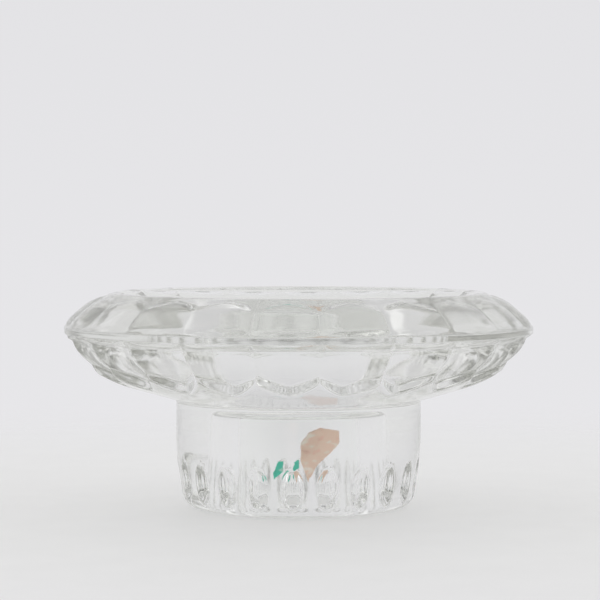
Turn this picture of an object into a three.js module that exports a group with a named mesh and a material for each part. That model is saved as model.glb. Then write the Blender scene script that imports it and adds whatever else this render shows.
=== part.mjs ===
// A pressed-glass tealight holder: a wide fluted dish with a tealight well, on a short round foot with a
// candle socket in its underside, and the remnants of a paper sticker on the socket's wall.
// Millimetres, +Z up, origin at the centre of the sole. The front faces -Y.
import * as THREE from "three";
import { mergeVertices } from "three/addons/utils/BufferGeometryUtils.js";

// Driving dimensions of the glass
const FLUTES = 22; // scoops in each of the three rows
const FLUTE_TURN = -2.8; // degrees from the front, towards +X, to the centre line of the nearest scoops
const FACETS_PER_FLUTE = 4;
const HEIGHT = 44;
const RIM_RADIUS = 48;
const RIM_EDGE_RADIUS = 47.6; // where the rim's rounded edge meets the bevels above and below it
const RIM_HEIGHT = 36.5; // height of the middle of the rim's edge
const RIM_HALF_THICKNESS = 0.8;
const RIM_ROUNDING = 0.3;
const RING_RADIUS = 37.8; // the highest ring, between the bevel and the dish

const SOLE_RADIUS = 20.5;
const HEEL_RADIUS = 23.9;
const HEEL_HEIGHT = 3.2;
const FOOT_RADIUS = 25.15;
const FOOT_UPRIGHT_FROM = 14;
const FOOT_HEIGHT = 22.4;

const SOCKET_MOUTH_RADIUS = 12.6;
const SOCKET_TOP_RADIUS = 12;
const SOCKET_DEPTH = 20.6;

const WELL_RADIUS = 20;
const WELL_MOUTH_RADIUS = 20.6;
const WELL_FLOOR = 24;
const WELL_RIM = 39.4;

const FILLET = 1.5; // inside corners of the socket and the well
const LIP = 0.8; // rounded mouths of the socket and the well, and the corner above the foot

// Each row of scoops: its depth at points along its stretch of the outline, from 0 at the stretch's start
// to 1 at its end, and the scoops' crosswise curvature, one over their radius.
const FOOT_SCOOPS = {
  curvature: 0.48,
  depths: [
    [0, -0.8],
    [0.2, 0],
    [0.3, 0.9],
    [0.42, 1.1],
    [0.54, 0.9],
    [0.62, 0],
    [0.8, -0.8],
  ],
};
const PETAL_SCOOPS = {
  curvature: 0.06,
  depths: [
    [0.3, -0.8],
    [0.4, 0],
    [0.45, 1.6],
    [0.7, 2],
    [0.9, 2.2],
    [1, 0.2],
  ],
};
const BEVEL_SCOOPS = {
  curvature: 0.03,
  depths: [
    [0, 0.2],
    [0.3, 0.7],
    [0.7, 0.6],
    [1, 0.1],
  ],
};

// Driving dimensions of the sticker's remnants, on the socket's wall
const STICKER_THICKNESS = 0.25;
const STICKER_GAP = 0.3; // clearance to the glass behind

const glass = new THREE.MeshStandardMaterial({
  color: 0xedefe9,
  roughness: 0.02,
  metalness: 0,
  transparent: true,
  opacity: 0.35,
});
const peachPaper = new THREE.MeshStandardMaterial({ color: 0xd9a891, roughness: 0.75, metalness: 0 });
const greenPaper = new THREE.MeshStandardMaterial({ color: 0x1f9c78, roughness: 0.75, metalness: 0 });

const at = (radius, height) => new THREE.Vector2(radius, height);

// Points of an ellipse's quarter that runs from one point to another and leaves the first along the radius
// when flat is true, or along the height when it is false.
function quarter(from, to, flat, steps) {
  const points = [];
  for (let i = 0; i <= steps; i++) {
    const angle = (i / steps) * (Math.PI / 2);
    const early = Math.sin(angle);
    const late = 1 - Math.cos(angle);
    const alongRadius = flat ? early : late;
    const alongHeight = flat ? late : early;
    points.push(
      at(from.x + (to.x - from.x) * alongRadius, from.y + (to.y - from.y) * alongHeight),
    );
  }
  return points;
}

const smooth = (points, steps) => new THREE.SplineCurve(points).getPoints(steps);

function socketOutline() {
  return [
    at(0, SOCKET_DEPTH),
    ...quarter(
      at(SOCKET_TOP_RADIUS - FILLET, SOCKET_DEPTH),
      at(SOCKET_TOP_RADIUS, SOCKET_DEPTH - FILLET),
      true,
      3,
    ),
    ...quarter(at(SOCKET_MOUTH_RADIUS, LIP), at(SOCKET_MOUTH_RADIUS + LIP, 0), false, 2),
  ];
}

function footOutline() {
  return [
    ...quarter(at(SOLE_RADIUS, 0), at(HEEL_RADIUS, HEEL_HEIGHT), true, 4),
    ...smooth([at(24.35, 6), at(24.85, 9.5), at(FOOT_RADIUS, FOOT_UPRIGHT_FROM)], 5),
    at(FOOT_RADIUS, FOOT_HEIGHT - LIP),
  ];
}

function petalOutline() {
  const rimStart = at(RIM_EDGE_RADIUS, RIM_HEIGHT - RIM_HALF_THICKNESS);
  return [
    at(FOOT_RADIUS + LIP, FOOT_HEIGHT - 0.1),
    ...smooth([at(28.2, 22.9), at(32.8, 24.3), at(38.8, 26.4), at(44.9, 30.2), rimStart], 10),
  ];
}

function rimOutline() {
  const upright = RIM_HALF_THICKNESS - RIM_ROUNDING;
  return [at(RIM_RADIUS, RIM_HEIGHT - upright), at(RIM_RADIUS, RIM_HEIGHT + upright)];
}

function bevelOutline() {
  return smooth(
    [
      at(RIM_EDGE_RADIUS, RIM_HEIGHT + RIM_HALF_THICKNESS),
      at(45.9, 39.2),
      at(43.1, 41.6),
      at(39.8, 43.1),
    ],
    6,
  );
}

function dishOutline() {
  return [
    at(RING_RADIUS + 1.2, HEIGHT - 0.3),
    at(RING_RADIUS, HEIGHT),
    ...smooth([at(36.6, 43.8), at(33, 42), at(27, 40.2), at(WELL_MOUTH_RADIUS + LIP, WELL_RIM)], 6),
  ];
}

function wellOutline() {
  return [
    ...quarter(at(WELL_MOUTH_RADIUS, WELL_RIM - LIP), at(WELL_RADIUS, WELL_FLOOR + FILLET), true, 1),
    ...quarter(
      at(WELL_RADIUS, WELL_FLOOR + FILLET),
      at(WELL_RADIUS - FILLET, WELL_FLOOR),
      false,
      3,
    ).slice(1),
    at(0, WELL_FLOOR),
  ];
}

// A value read from [place, value] pairs by straight lines between them.
function interpolate(pairs, place) {
  const next = pairs.findIndex(([x]) => x >= place);
  if (next === 0) return pairs[0][1];
  if (next < 0) return pairs.at(-1)[1];
  const [x0, y0] = pairs[next - 1];
  const [x1, y1] = pairs[next];
  return y0 + ((y1 - y0) * (place - x0)) / (x1 - x0);
}

// The depth of a row's scoops on their centre line at each point of a stretch, by distance along it.
function centreDepths(points, row) {
  const lengths = [0];
  for (let i = 1; i < points.length; i++) {
    lengths.push(lengths[i - 1] + points[i].distanceTo(points[i - 1]));
  }
  return lengths.map((length) => interpolate(row.depths, length / lengths.at(-1)));
}

// The whole outline from the socket's ceiling round to the well's floor, with each point's centre depth,
// crosswise curvature and outward direction.
function glassOutline() {
  const stretches = [
    [socketOutline()],
    [footOutline(), FOOT_SCOOPS],
    [petalOutline(), PETAL_SCOOPS],
    [rimOutline()],
    [bevelOutline(), BEVEL_SCOOPS],
    [dishOutline()],
    [wellOutline()],
  ];
  const outline = stretches.flatMap(([points, row]) => {
    const depths = row ? centreDepths(points, row) : points.map(() => 0);
    return points.map((point, i) => ({
      point,
      depth: depths[i],
      curvature: row ? row.curvature : 1,
    }));
  });
  outline.forEach((entry, i) => {
    const before = outline[Math.max(i - 1, 0)].point;
    const after = outline[Math.min(i + 1, outline.length - 1)].point;
    const along = after.clone().sub(before).normalize();
    entry.outward = at(along.y, -along.x);
  });
  return outline;
}

// The glass: a body of revolution whose outside is pressed in along each scoop.
function glassBody() {
  const outline = glassOutline();
  const segments = FLUTES * FACETS_PER_FLUTE;
  const geometry = new THREE.LatheGeometry(
    outline.map((entry) => entry.point),
    segments,
  );
  const position = geometry.getAttribute("position");
  for (let column = 0; column <= segments; column++) {
    const fromCentre = ((column % FACETS_PER_FLUTE) / FACETS_PER_FLUTE - 0.5) * ((2 * Math.PI) / FLUTES);
    const turn = (column / segments) * 2 * Math.PI;
    outline.forEach(({ point, depth, curvature, outward }, row) => {
      const across = point.x * fromCentre;
      const pressed = Math.max(0, depth - (curvature * across * across) / 2);
      const radius = point.x - pressed * outward.x;
      const height = point.y - pressed * outward.y;
      const index = column * outline.length + row;
      position.setXYZ(index, radius * Math.sin(turn), height, radius * Math.cos(turn));
    });
  }
  const firstRidge = THREE.MathUtils.degToRad(FLUTE_TURN) - Math.PI / FLUTES;
  return closed(geometry.rotateX(Math.PI / 2).rotateZ(firstRidge));
}

// A scrap of paper bent onto the socket's wall. It spans azimuths in degrees from the front towards +X, and
// its lower and upper edges are [share of its width, height] pairs.
function scrap({ from, to, lower, upper }) {
  const columns = 8;
  const rows = 3;
  const geometry = new THREE.BoxGeometry(1, 1, 1, columns, rows, 1);
  const position = geometry.getAttribute("position");
  for (let i = 0; i < position.count; i++) {
    const across = position.getX(i) + 0.5;
    const up = position.getY(i) + 0.5;
    const radius = SOCKET_TOP_RADIUS - STICKER_GAP - STICKER_THICKNESS * (0.5 - position.getZ(i));
    const turn = THREE.MathUtils.degToRad(from + (to - from) * across);
    const low = interpolate(lower, across);
    const high = interpolate(upper, across);
    position.setXYZ(i, radius * Math.sin(turn), -radius * Math.cos(turn), low + (high - low) * up);
  }
  return closed(geometry);
}

// A geometry reduced to shared positions, so that its surface closes.
function closed(geometry) {
  geometry.deleteAttribute("normal");
  geometry.deleteAttribute("uv");
  const merged = mergeVertices(geometry, 1e-4);
  merged.computeVertexNormals();
  return merged;
}

function peachScrap() {
  return scrap({
    from: 1.8,
    to: 33,
    lower: [
      [0, 11.2],
      [0.18, 7.4],
      [0.4, 10.3],
      [1, 14.4],
    ],
    upper: [
      [0, 14.6],
      [0.2, 16.6],
      [0.5, 17.5],
      [1, 16.8],
    ],
  });
}

function largeGreenScrap() {
  return scrap({
    from: -19.5,
    to: -12,
    lower: [
      [0, 7.8],
      [1, 9.2],
    ],
    upper: [
      [0, 9],
      [0.5, 11],
      [1, 11.2],
    ],
  });
}

function smallGreenScrap() {
  return scrap({
    from: -3,
    to: 0.4,
    lower: [
      [0, 9.6],
      [1, 8.6],
    ],
    upper: [
      [0, 11],
      [1, 11.6],
    ],
  });
}

function named(name, geometry, material) {
  const mesh = new THREE.Mesh(geometry, material);
  mesh.name = name;
  return mesh;
}

const holder = new THREE.Group();
holder.add(
  named("glass_body", glassBody(), glass),
  named("sticker_peach", peachScrap(), peachPaper),
  named("sticker_green_large", largeGreenScrap(), greenPaper),
  named("sticker_green_small", smallGreenScrap(), greenPaper),
);

export default holder;
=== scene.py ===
"""A pressed-glass tealight holder with the remnants of a sticker in its socket, on a pale floor."""

import math
import random

import bpy
import numpy as np
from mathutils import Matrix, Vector, noise


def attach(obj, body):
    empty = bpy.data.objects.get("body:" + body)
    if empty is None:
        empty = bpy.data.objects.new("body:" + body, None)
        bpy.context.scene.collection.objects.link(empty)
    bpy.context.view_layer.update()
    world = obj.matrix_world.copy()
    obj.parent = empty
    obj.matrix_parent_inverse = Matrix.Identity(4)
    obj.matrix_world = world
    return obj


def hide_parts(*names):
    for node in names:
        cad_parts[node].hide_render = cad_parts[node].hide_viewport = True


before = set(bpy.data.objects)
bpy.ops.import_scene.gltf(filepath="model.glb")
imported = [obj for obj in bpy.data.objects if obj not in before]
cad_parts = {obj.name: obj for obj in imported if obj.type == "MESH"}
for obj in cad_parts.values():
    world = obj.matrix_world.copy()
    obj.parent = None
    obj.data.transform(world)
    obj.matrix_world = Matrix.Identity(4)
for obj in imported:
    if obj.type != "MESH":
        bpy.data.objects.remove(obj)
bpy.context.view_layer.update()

# Dimensions are in millimetres and angles in degrees unless a name says otherwise.
MM = 0.001
FLUTES = 22
FLUTE_TURN = -2.8  # from the front, towards +X, to the centre line of the nearest scoops
HALF_PITCH = math.pi / FLUTES
COLUMNS = 12  # mesh columns in half a scoop
EDGE_COLUMNS = 7  # of them, inside an oval's edge
RIDGE_COLUMNS = 3  # of them, on a rounded ridge
AXIS = 0.01  # radius of the hole that a cap closes at the axis

# Glass outline, as (radius, height)
SOCKET_RADIUS = 12.0
SOCKET_MOUTH_RADIUS = 12.6
SOCKET_CEILING = 20.6
SOCKET_FILLET = 1.5
SOCKET_LIP = 1.0
SOLE_RADIUS = 20.5
HEEL = (23.9, 3.2)
FOOT_SIDE = [HEEL, (24.35, 6.0), (24.85, 9.5), (25.15, 14.0)]
FOOT_TOP = 22.4
FOOT_FILLET = 0.8
PETALS = [
    (26.2, 22.35), (28.2, 22.9), (32.8, 24.3), (36.2, 25.3), (38.8, 26.4), (41.1, 27.6),
    (43.1, 28.8), (44.9, 30.2), (46.4, 31.8), (47.4, 33.6), (47.7, 35.7),
]
RIM = [
    (47.7, 35.7), (47.93, 35.8), (48.0, 35.95), (48.0, 36.2), (48.0, 36.8), (48.0, 37.05),
    (47.9, 37.2), (47.6, 37.3),
]
BEVEL = [
    (47.6, 37.3), (46.9, 38.2), (45.9, 39.2), (44.7, 40.3), (43.1, 41.6), (41.3, 42.5),
    (39.8, 43.1), (38.8, 43.75),
]
RING = [(38.8, 43.75), (37.8, 44.0), (36.6, 43.8)]
DISH = [(36.6, 43.8), (35.8, 43.3), (33.0, 42.0), (29.0, 40.6), (25.0, 39.8), (21.4, 39.4)]
WELL_RADIUS = 20.0
WELL_FLOOR = 24.0
WELL_FILLET = 1.5
WELL_LIP = 0.8

# Scoops
PETAL_CURVATURE = 0.06  # crosswise, one over the radius
PETAL_SINK = 0.9  # depth of the step that lies round all the petals
BEVEL_CURVATURE = 0.02
RIDGE_SHARE = 0.1  # share of half a scoop that its rounded ridge takes
RIM_DEPTH = 0.15  # depth of a scoop where it meets the rim
RIM_FADE = 1.6  # length over which it rises to that
PETAL_TIP = 36.3  # radius of a petal's tip, on its centre line
PETAL_SHOULDER = 41.6  # radius where two petals' ends meet, on the ridge
PETAL_WALL = 1.3  # width of the step round a petal's end
BEVEL_TIP = 39.2
BEVEL_SHOULDER = 42.0
BEVEL_WALL = 1.3
END_ROUNDNESS = 1.4  # power of the curve of a scoop's end
STEP_WIDENING = 0.6  # share by which the step is wider on the ridge
STEP_SHARES = (-0.15, 0.05, 0.3, 0.5, 0.7, 0.95, 1.15)  # mesh rows across the step, in widths
STEP_SOFTNESS = 0.15  # rounding of the step's two edges, in widths
OVAL_HEIGHT = 6.0
OVAL_HALF_HEIGHT = 4.1
OVAL_HALF_WIDTH = 2.15
OVAL_DEPTH = 1.6
OVAL_FLATNESS = 1.4  # how flat the bottom of an oval scoop is, and how steep its edge
OVAL_SOFTNESS = 0.03
OVAL_EDGE_LIMITS = (0.3, 0.9)  # crosswise place of the mesh columns that follow an oval's edge

WAVER = 0.06  # unevenness of the pressing
WAVER_SIZE = 11.0
NOISE_SEED = 1  # Blender's noise would otherwise start from the clock, and differ from run to run
CALM_HEIGHT = 3  # below this it fades out
CALM_RADIUS = 6  # and nearer than this to the axis

# Sticker
PAPER = 0.12
PRESSED_IN = 0.02  # how far the gummed face sits in the glass's surface
TEAR = 0.16
TEAR_SCALE = (0.9, 3.5)  # waves of the torn edge, to a degree and to a millimetre
TEAR_DEGREES = 4.5  # degrees of tear to a millimetre
TEAR_REACH = 6  # power that keeps the tear to the edge
EDGE_THINNING = 0.55
PAPER_COLUMNS, PAPER_ROWS = 40, 16
PAPER_PAINTED_GLOW = 0.34  # painted glow: the paper gives off light in its own colours, standing in for light that comes through it from the socket

# Colours and light. Each paper's three colours are its dark fibres, its print and its pale core; the
# paper also gives them off as a painted glow.
PEACH = [(0.68, 0.46, 0.36, 1), (0.82, 0.62, 0.5, 1), (0.9, 0.8, 0.7, 1)]
GREEN = [(0.04, 0.4, 0.28, 1), (0.08, 0.58, 0.42, 1), (0.55, 0.75, 0.65, 1)]
GLASS_IOR = 1.5
SKIN = (0.07, 0.1)  # roughness that the mould leaves
GLASS_TINT = (0.845, 0.855, 0.78, 1)
GLASS_TINT_DENSITY = 5.0
BACK = 0.80  # the backdrop's brightness
FRONT = 0.06  # brightness behind the photographer
FRONT_FROM = -0.98  # reach of the darkening, along Y
FRONT_TO = -0.1
OVERHEAD = 0.82  # brightness straight above, as a share of the backdrop's
LAMP_TOP = 0.12
LAMP_SIDE = 0.4
LAMP_BACK = 0.05
LAMP_TARGET = (0, 0, 0.03)  # metres
FLOOR_FADE = (0.06, 0.26)  # metres
FLOOR_HALF = 0.6  # metres
FLOOR_DROP = 0.0001  # metres below the sole, so that the two never share a plane
FLOOR_GLOW = 0.455
CAMERA_PLACE = (0, -0.452, 0.0598)  # metres
CAMERA_LENS = 132
CAMERA_TILT = 2.2126  # down from level
CAMERA_TURN = -0.0391


# ---------------------------------------------------------------- outline
def quarter(start, end, flat, steps):
    """Points of an ellipse's quarter after its start, leaving it along the radius if flat."""
    points = []
    for i in range(1, steps + 1):
        angle = i / steps * math.pi / 2
        early, late = math.sin(angle), 1 - math.cos(angle)
        along_radius, along_height = (early, late) if flat else (late, early)
        radius = start[0] + (end[0] - start[0]) * along_radius
        height = start[1] + (end[1] - start[1]) * along_height
        points.append((radius, height))
    return points


def line(start, end, steps):
    """Points evenly spaced on a straight line, without its start."""
    return [tuple(np.add(start, np.subtract(end, start) * i / steps)) for i in range(1, steps + 1)]


def smooth(points, per_span):
    """A smooth curve through points."""
    p = np.array(points, float)
    p = np.vstack([2 * p[0] - p[1], p, 2 * p[-1] - p[-2]])
    curve = []
    for i in range(1, len(p) - 2):
        a, b, c, d = p[i - 1 : i + 3]
        bend, twist = 2 * a - 5 * b + 4 * c - d, 3 * b - a - 3 * c + d
        for t in np.linspace(0, 1, per_span, endpoint=False):
            curve.append(0.5 * (2 * b + (c - a) * t + bend * t**2 + twist * t**3))
    return [tuple(q) for q in [*curve, p[-2]]]


def socket_outline():
    inner, top = SOCKET_RADIUS - SOCKET_FILLET, SOCKET_CEILING
    points = [(AXIS, top), (inner / 2, top), (inner, top)]
    points += quarter(points[-1], (SOCKET_RADIUS, top - SOCKET_FILLET), True, 7)
    points += line(points[-1], (SOCKET_MOUTH_RADIUS, SOCKET_LIP), 5)
    points += quarter(points[-1], (SOCKET_MOUTH_RADIUS + SOCKET_LIP, 0), False, 5)
    return points + line(points[-1], (SOLE_RADIUS, 0), 3)


def foot_outline():
    return quarter((SOLE_RADIUS, 0), HEEL, True, 10) + smooth(FOOT_SIDE, 8)[1:]


def neck_outline():
    radius, height = FOOT_SIDE[-1]
    side = line((radius, height), (radius, FOOT_TOP - FOOT_FILLET), 3)
    return side + quarter(side[-1], (radius + FOOT_FILLET, FOOT_TOP - 0.08), False, 4)


def well_outline():
    points = quarter(DISH[-1], (DISH[-1][0] - WELL_LIP, DISH[-1][1] - WELL_LIP), True, 5)
    points += line(points[-1], (WELL_RADIUS, WELL_FLOOR + WELL_FILLET), 5)
    points += quarter(points[-1], (WELL_RADIUS - WELL_FILLET, WELL_FLOOR), False, 6)
    return points + line(points[-1], (AXIS, WELL_FLOOR), 3)


# ---------------------------------------------------------------- glass
def soft_step(value, softness):
    """Zero below zero and the value above it, rounded across the corner."""
    rounded = (value + softness) ** 2 / (4 * softness)
    return np.where(value < -softness, 0, np.where(value > softness, value, rounded))


def column_places(edge):
    """Crosswise mesh places over half a scoop, from 0 to 1, of which some lie inside the edge."""
    inside = np.linspace(0, edge, EDGE_COLUMNS + 1)
    outside = np.linspace(edge, 1, COLUMNS - EDGE_COLUMNS + 1)
    return np.concatenate([inside, outside[1:]])


def ridge_places():
    """Crosswise mesh places over half a scoop that crowd towards the ridge."""
    inner = np.linspace(0, 1 - RIDGE_SHARE, COLUMNS - RIDGE_COLUMNS + 1)
    return np.concatenate([inner, np.linspace(1 - RIDGE_SHARE, 1, RIDGE_COLUMNS + 1)[1:]])


def both_sides(half):
    return np.concatenate([-half[::-1][:-1], half[:-1]])


class Stretch:
    """A run of the outline that can be read by the distance along it."""

    def __init__(self, points):
        self.points = np.array(points, float)
        steps = np.linalg.norm(np.diff(self.points, axis=0), axis=1)
        self.along = np.concatenate([[0], np.cumsum(steps)])
        slope = np.gradient(self.points, axis=0)
        slope /= np.linalg.norm(slope, axis=1)[:, None]
        self.outward = np.stack([slope[:, 1], -slope[:, 0]], 1)

    def read(self, column, distance):
        return np.interp(distance, self.along, column)

    def place_of_radius(self, radius):
        order = np.argsort(self.points[:, 0])
        return float(np.interp(radius, self.points[order, 0], self.along[order]))

    def pressed(self, distance, depth):
        """Radius and height of the outline at a distance, pressed in by a depth."""
        return tuple(
            self.read(self.points[:, i], distance) - depth * self.read(self.outward[:, i], distance)
            for i in (0, 1)
        )


def plain_rows(points):
    places = both_sides(column_places(EDGE_COLUMNS / COLUMNS))
    points = np.array(points)
    shape = (len(points), len(places))
    return (
        np.broadcast_to(points[:, :1], shape),
        np.broadcast_to(points[:, 1:], shape),
        np.broadcast_to(places, shape),
    )


def oval_rows(points):
    """The lower foot, with one oval scoop to a flute."""
    stretch = Stretch(points)
    rise = (stretch.points[:, 1] - OVAL_HEIGHT) / OVAL_HALF_HEIGHT
    half_width = OVAL_HALF_WIDTH * np.sqrt(np.clip(1 - rise**2, 0, 1))
    pitch = stretch.points[:, 0] * HALF_PITCH
    edges = np.clip(half_width / pitch, *OVAL_EDGE_LIMITS)
    places = np.array([both_sides(column_places(edge)) for edge in edges])
    across = places * pitch[:, None] / OVAL_HALF_WIDTH
    bowl = 1 - (across**2 + rise[:, None] ** 2) ** OVAL_FLATNESS
    depth = soft_step(OVAL_DEPTH * bowl, OVAL_SOFTNESS)
    distance = np.broadcast_to(stretch.along[:, None], places.shape)
    return (*stretch.pressed(distance, depth), places)


def scooped_rows(points, tip, shoulder, wall, curvature, sink, plain, inner):
    """A bevel with one scoop to a flute: plain rows, the step round its end, then the scoop itself."""
    stretch = Stretch(points)
    length = stretch.along[-1]
    places = both_sides(ridge_places())
    tip, shoulder = stretch.place_of_radius(tip), stretch.place_of_radius(shoulder)
    start = tip + (shoulder - tip) * np.abs(places) ** END_ROUNDNESS
    width = wall * (1 + STEP_WIDENING * np.abs(places))
    step_shares = np.array(STEP_SHARES)
    low = np.linspace(0, 1, plain, endpoint=False)[:, None] * (start + STEP_SHARES[0] * width)
    step = start + step_shares[:, None] * width
    climb = np.linspace(0, 1, inner + 1)[1:, None]
    high = step[-1] + (length - step[-1]) * climb
    distance = np.vstack([low, step, high])
    share = (distance - start) / width
    share = soft_step(share, STEP_SOFTNESS) - soft_step(share - 1, STEP_SOFTNESS)
    pitch = stretch.read(stretch.points[:, 0], distance) * HALF_PITCH
    across = np.abs(places) * pitch
    ridge = RIDGE_SHARE * pitch
    rounded = pitch - ridge / 2 - (pitch - across) ** 2 / (2 * ridge)
    across = np.where(across > pitch - ridge, rounded, across)
    centre = sink + curvature * pitch**2 / 2
    fade = np.clip((length - distance) / RIM_FADE, 0, 1)
    centre = RIM_DEPTH + (centre - RIM_DEPTH) * np.sin(fade * math.pi / 2)
    depth = share * np.maximum(0, centre - curvature * across**2 / 2)
    return (*stretch.pressed(distance, depth), np.broadcast_to(places, distance.shape))


def upside_down(rows):
    return tuple(part[::-1] for part in rows)


def glass_rows():
    """Radius, height and crosswise place of every mesh row over a flute, from the socket to the well."""
    petals = scooped_rows(
        smooth(PETALS, 5),
        tip=PETAL_TIP,
        shoulder=PETAL_SHOULDER,
        wall=PETAL_WALL,
        curvature=PETAL_CURVATURE,
        sink=PETAL_SINK,
        plain=7,
        inner=14,
    )
    bevel = scooped_rows(
        smooth(BEVEL, 5)[::-1],
        tip=BEVEL_TIP,
        shoulder=BEVEL_SHOULDER,
        wall=BEVEL_WALL,
        curvature=BEVEL_CURVATURE,
        sink=0,
        plain=2,
        inner=12,
    )
    sections = [
        plain_rows(socket_outline()),
        oval_rows(foot_outline()),
        plain_rows(neck_outline()),
        petals,
        plain_rows(smooth(RIM, 2)[1:-1]),
        upside_down(bevel),
        plain_rows(smooth(RING, 3)[1:] + smooth(DISH, 3)[1:]),
        plain_rows(well_outline()),
    ]
    return [np.vstack([section[i] for section in sections]) for i in range(3)]


def grid_faces(rows, columns, ring):
    """Quads of a grid of vertices, closed round each row if it is a ring."""
    faces = []
    for row in range(rows - 1):
        for column in range(columns if ring else columns - 1):
            a = row * columns + column
            b = row * columns + (column + 1) % columns
            faces.append((a, b, b + columns, a + columns))
    return faces


def mesh_object(name, vertices, faces, material, smooth_faces=True):
    mesh = bpy.data.meshes.new(name)
    mesh.from_pydata([tuple(v) for v in vertices], [], faces)
    mesh.polygons.foreach_set("use_smooth", [smooth_faces] * len(mesh.polygons))
    mesh.materials.append(material)
    shown = bpy.data.objects.new(name, mesh)
    bpy.context.scene.collection.objects.link(shown)
    return shown


def wavered(vertices):
    """The pressing's slight unevenness, which fades at the axis and towards the floor."""
    moved = []
    for v in vertices:
        shift = noise.noise_vector(Vector(v) / WAVER_SIZE) * WAVER
        calm = min(1, v[2] / CALM_HEIGHT) * min(1, math.hypot(v[0], v[1]) / CALM_RADIUS)
        moved.append((v[0] + shift.x * calm, v[1] + shift.y * calm, v[2] + shift.z * calm))
    return np.array(moved)


def glass_body(material):
    radius, height, places = glass_rows()
    turns = math.radians(FLUTE_TURN) + 2 * HALF_PITCH * np.arange(FLUTES)
    azimuth = np.concatenate([turn + places * HALF_PITCH for turn in turns], 1)
    radius, height = np.tile(radius, (1, FLUTES)), np.tile(height, (1, FLUTES))
    vertices = np.stack([radius * np.sin(azimuth), -radius * np.cos(azimuth), height], 2)
    rows, columns = radius.shape
    faces = grid_faces(rows, columns, True)
    faces.append(tuple(range(columns)))
    faces.append(tuple(reversed(range((rows - 1) * columns, rows * columns))))
    return mesh_object("pressed_glass", wavered(vertices.reshape(-1, 3)) * MM, faces, material)


# ---------------------------------------------------------------- sticker
def socket_wall(height):
    heights = [SOCKET_LIP, SOCKET_CEILING - SOCKET_FILLET]
    return np.interp(height, heights, [SOCKET_MOUTH_RADIUS, SOCKET_RADIUS])


def scrap(name, start, end, lower, upper, seed, material):
    """A torn scrap of paper on the socket's wall, between two azimuths and two (share, height) edges."""
    columns, rows = PAPER_COLUMNS, PAPER_ROWS
    random.seed(seed)
    offset = Vector([random.uniform(-50, 50) for _ in range(3)])
    vertices = []
    for face in (0, 1):
        for j in range(rows):
            up = j / (rows - 1)
            for i in range(columns):
                across = i / (columns - 1)
                low = np.interp(across, *zip(*lower))
                high = np.interp(across, *zip(*upper))
                height = low + (high - low) * up
                degrees = start + (end - start) * across
                edge = max(abs(2 * across - 1), abs(2 * up - 1)) ** TEAR_REACH
                place = Vector((degrees * TEAR_SCALE[0], height * TEAR_SCALE[1], 0))
                frayed = noise.noise_vector(place + offset) * TEAR * edge
                height += frayed.y
                turn = math.radians(degrees + frayed.x * TEAR_DEGREES)
                thin = 1 - EDGE_THINNING * edge
                radius = socket_wall(height) + PRESSED_IN - face * PAPER * thin
                x, y = radius * math.sin(turn), -radius * math.cos(turn)
                vertices.append((x * MM, y * MM, height * MM))
    sheet = rows * columns
    front = grid_faces(rows, columns, False)
    back = [tuple(sheet + v for v in reversed(face)) for face in front]
    rim = list(range(columns))
    rim += [j * columns + columns - 1 for j in range(1, rows)]
    rim += [(rows - 1) * columns + i for i in range(columns - 2, -1, -1)]
    rim += [j * columns for j in range(rows - 2, 0, -1)]
    side = [(b, a, a + sheet, b + sheet) for a, b in zip(rim, rim[1:] + rim[:1])]
    return mesh_object(name, vertices, front + back + side, material)


# ---------------------------------------------------------------- materials
def node_material(name):
    material = bpy.data.materials.new(name)
    material.use_nodes = True
    tree = material.node_tree
    return material, tree, tree.nodes["Principled BSDF"]


def noise_texture(tree, scale, detail, coordinates):
    texture = tree.nodes.new("ShaderNodeTexNoise")
    texture.inputs["Scale"].default_value = scale
    texture.inputs["Detail"].default_value = detail
    tree.links.new(coordinates, texture.inputs["Vector"])
    return texture.outputs["Fac"]


def ramp(tree, value, stops):
    node = tree.nodes.new("ShaderNodeValToRGB")
    elements = node.color_ramp.elements
    elements[0].position, elements[0].color = stops[0]
    elements[1].position, elements[1].color = stops[-1]
    for position, colour in stops[1:-1]:
        elements.new(position).color = colour
    tree.links.new(value, node.inputs["Fac"])
    return node.outputs["Color"]


def bump(tree, height, strength, distance, shader):
    node = tree.nodes.new("ShaderNodeBump")
    node.inputs["Strength"].default_value = strength
    node.inputs["Distance"].default_value = distance
    tree.links.new(height, node.inputs["Height"])
    tree.links.new(node.outputs["Normal"], shader.inputs["Normal"])


def glass_material():
    material, tree, shader = node_material("clear pressed glass")
    coordinates = tree.nodes.new("ShaderNodeTexCoord").outputs["Object"]
    shader.inputs["Transmission Weight"].default_value = 1
    skin = map_range(tree, noise_texture(tree, 45, 3, coordinates), (0.3, 0.7), SKIN)
    tree.links.new(skin, shader.inputs["Roughness"])
    shader.inputs["IOR"].default_value = GLASS_IOR
    cords = noise_texture(tree, 60, 2, coordinates)
    stops = [(0.3, (0.975, 0.985, 0.97, 1)), (0.7, (1, 1, 1, 1))]
    tree.links.new(ramp(tree, cords, stops), shader.inputs["Base Color"])
    ripples = noise_texture(tree, 170, 1, coordinates)
    bump(tree, ripples, 0.25, 0.00006, shader)
    tint = tree.nodes.new("ShaderNodeVolumeAbsorption")
    tint.inputs["Color"].default_value = GLASS_TINT
    tint.inputs["Density"].default_value = GLASS_TINT_DENSITY
    tree.links.new(tint.outputs["Volume"], tree.nodes["Material Output"].inputs["Volume"])
    return material


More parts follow.
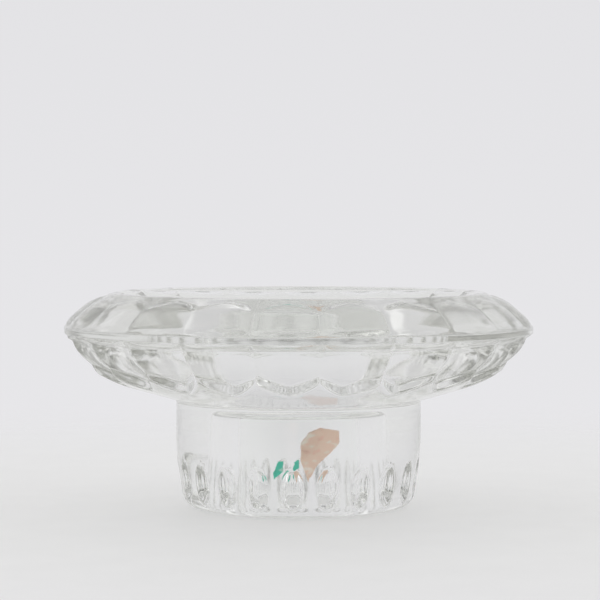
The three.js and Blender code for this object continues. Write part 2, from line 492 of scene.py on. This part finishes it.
def paper_material(name, dark, middle, pale):
    """Printed paper, mottled along its fibres and scuffed to its pale core, with a painted glow in the
    same colours.
    """
    material, tree, shader = node_material(name)
    coordinates = tree.nodes.new("ShaderNodeTexCoord").outputs["Object"]
    stretched = tree.nodes.new("ShaderNodeMapping")
    stretched.inputs["Scale"].default_value = (1, 1, 1.4)
    tree.links.new(coordinates, stretched.inputs["Vector"])
    mottle = noise_texture(tree, 420, 5, stretched.outputs["Vector"])
    stops = [(0.28, dark), (0.42, middle), (0.54, middle), (0.66, pale)]
    print_and_painted_glow_colour = ramp(tree, mottle, stops)
    tree.links.new(print_and_painted_glow_colour, shader.inputs["Base Color"])
    # painted glow: the print colour is also given off as light, so the paper glows though it is no lamp
    tree.links.new(print_and_painted_glow_colour, shader.inputs["Emission Color"])
    shader.inputs["Emission Strength"].default_value = PAPER_PAINTED_GLOW
    gloss = noise_texture(tree, 900, 3, coordinates)
    rough = ramp(tree, gloss, [(0.2, (0.5, 0.5, 0.5, 1)), (0.8, (0.85, 0.85, 0.85, 1))])
    tree.links.new(rough, shader.inputs["Roughness"])
    fibres = noise_texture(tree, 2600, 4, coordinates)
    bump(tree, fibres, 0.5, 0.00004, shader)
    return material


def floor_material():
    """Pale matt card that gives way to the backdrop with distance."""
    material, tree, shader = node_material("pale card")
    coordinates = tree.nodes.new("ShaderNodeTexCoord").outputs["Object"]
    grain = noise_texture(tree, 90, 4, coordinates)
    stops = [(0.3, (0.46, 0.46, 0.455, 1)), (0.7, (0.48, 0.48, 0.475, 1))]
    tree.links.new(ramp(tree, grain, stops), shader.inputs["Base Color"])
    shader.inputs["Roughness"].default_value = 0.7
    shader.inputs["Emission Color"].default_value = (1, 1, 0.99, 1)
    shader.inputs["Emission Strength"].default_value = FLOOR_GLOW
    reach = tree.nodes.new("ShaderNodeVectorMath")
    reach.operation = "LENGTH"
    tree.links.new(coordinates, reach.inputs[0])
    fade = tree.nodes.new("ShaderNodeMapRange")
    fade.interpolation_type = "SMOOTHSTEP"
    fade.inputs["From Min"].default_value = FLOOR_FADE[0]
    fade.inputs["From Max"].default_value = FLOOR_FADE[1]
    tree.links.new(reach.outputs["Value"], fade.inputs["Value"])
    clear = tree.nodes.new("ShaderNodeBsdfTransparent")
    mix = tree.nodes.new("ShaderNodeMixShader")
    tree.links.new(fade.outputs["Result"], mix.inputs["Fac"])
    tree.links.new(shader.outputs["BSDF"], mix.inputs[1])
    tree.links.new(clear.outputs["BSDF"], mix.inputs[2])
    tree.links.new(mix.outputs["Shader"], tree.nodes["Material Output"].inputs["Surface"])
    return material


# ---------------------------------------------------------------- light and camera
def map_range(tree, value, source, target):
    node = tree.nodes.new("ShaderNodeMapRange")
    node.inputs["From Min"].default_value, node.inputs["From Max"].default_value = source
    node.inputs["To Min"].default_value, node.inputs["To Max"].default_value = target
    tree.links.new(value, node.inputs["Value"])
    return node.outputs["Result"]


def multiply(tree, one, other):
    node = tree.nodes.new("ShaderNodeMath")
    node.operation = "MULTIPLY"
    tree.links.new(one, node.inputs[0])
    tree.links.new(other, node.inputs[1])
    return node.outputs["Value"]


def studio():
    """A pale tent, darker on the side that the photographer stands on and overhead."""
    world = bpy.data.worlds.new("studio")
    bpy.context.scene.world = world
    world.use_nodes = True
    tree = world.node_tree
    split = tree.nodes.new("ShaderNodeSeparateXYZ")
    tree.links.new(tree.nodes.new("ShaderNodeTexCoord").outputs["Generated"], split.inputs[0])
    depth = map_range(tree, split.outputs["Y"], (FRONT_FROM, FRONT_TO), (FRONT, BACK))
    low = map_range(tree, split.outputs["Z"], (-0.1, 0.2), (1.0, 0.95))
    high = map_range(tree, split.outputs["Z"], (0.3, 0.95), (1.0, OVERHEAD))
    product = multiply(tree, multiply(tree, depth, low), high)
    tinted = tree.nodes.new("ShaderNodeVectorMath")
    tinted.operation = "SCALE"
    tinted.inputs[0].default_value = (1.0, 0.995, 1.02)
    tree.links.new(product, tinted.inputs["Scale"])
    tree.links.new(tinted.outputs["Vector"], tree.nodes["Background"].inputs["Color"])


def soft_lamp(name, place, size, height, power):
    """A soft box that faces the holder."""
    data = bpy.data.lights.new(name, "AREA")
    data.shape = "RECTANGLE"
    data.size, data.size_y, data.energy = size, height, power
    lamp = bpy.data.objects.new(name, data)
    bpy.context.scene.collection.objects.link(lamp)
    lamp.location = place
    aim = Vector(LAMP_TARGET) - Vector(place)
    lamp.rotation_euler = aim.to_track_quat("-Z", "Y").to_euler()


def camera():
    """The photograph's view, from a little above the rim and tilted slightly down."""
    data = bpy.data.cameras.new("camera")
    data.sensor_width = 36
    data.lens = CAMERA_LENS
    data.clip_start, data.clip_end = 0.01, 50
    shown = bpy.data.objects.new("camera", data)
    bpy.context.scene.collection.objects.link(shown)
    shown.location = CAMERA_PLACE
    shown.rotation_euler = (math.radians(90 - CAMERA_TILT), 0, math.radians(CAMERA_TURN))
    bpy.context.scene.camera = shown


# ---------------------------------------------------------------- scene
noise.seed_set(NOISE_SEED)
glass = glass_body(glass_material())
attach(glass, "root")
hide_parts("glass_body")

peach = paper_material("peach paper", *PEACH)
green = paper_material("green paper", *GREEN)
scraps = [
    scrap(
        "peach_scrap",
        1.8,
        33,
        [(0, 11.2), (0.18, 7.4), (0.4, 10.3), (1, 14.4)],
        [(0, 14.6), (0.2, 16.6), (0.5, 17.5), (1, 16.8)],
        3,
        peach,
    ),
    scrap(
        "large_green_scrap", -19.5, -12, [(0, 7.8), (1, 9.2)], [(0, 9), (0.5, 11), (1, 11.2)], 5, green
    ),
    scrap("small_green_scrap", -3, 0.4, [(0, 9.6), (1, 8.6)], [(0, 11), (1, 11.6)], 8, green),
]
nodes = ["sticker_peach", "sticker_green_large", "sticker_green_small"]
slots = ["peach_paper", "green_paper", "green_paper"]
for piece, node, slot in zip(scraps, nodes, slots):
    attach(piece, "root")
    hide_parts(node)

corners = [(x * FLOOR_HALF, y * FLOOR_HALF, 0) for x, y in ((-1, -1), (1, -1), (1, 1), (-1, 1))]
floor = mesh_object("floor", corners, [(0, 1, 2, 3)], floor_material(), False)
floor.location.z = -FLOOR_DROP

studio()
soft_lamp("lamp above", (0, 0.1, 0.9), 0.6, 0.6, LAMP_TOP)
soft_lamp("lamp on the left", (-0.9, -0.2, 0.5), 0.35, 0.6, LAMP_SIDE)
soft_lamp("lamp on the right", (0.9, -0.3, 0.5), 0.35, 0.6, LAMP_SIDE)
soft_lamp("lamp behind on the left", (-0.57, 0.47, 0.5), 0.25, 0.25, LAMP_BACK)
soft_lamp("lamp behind on the right", (0.57, 0.47, 0.5), 0.25, 0.25, LAMP_BACK)
camera()
scene = bpy.context.scene
scene.view_settings.view_transform = "Standard"
scene.cycles.max_bounces = 24
scene.cycles.transmission_bounces = 24
scene.cycles.glossy_bounces = 12
scene.cycles.transparent_max_bounces = 16
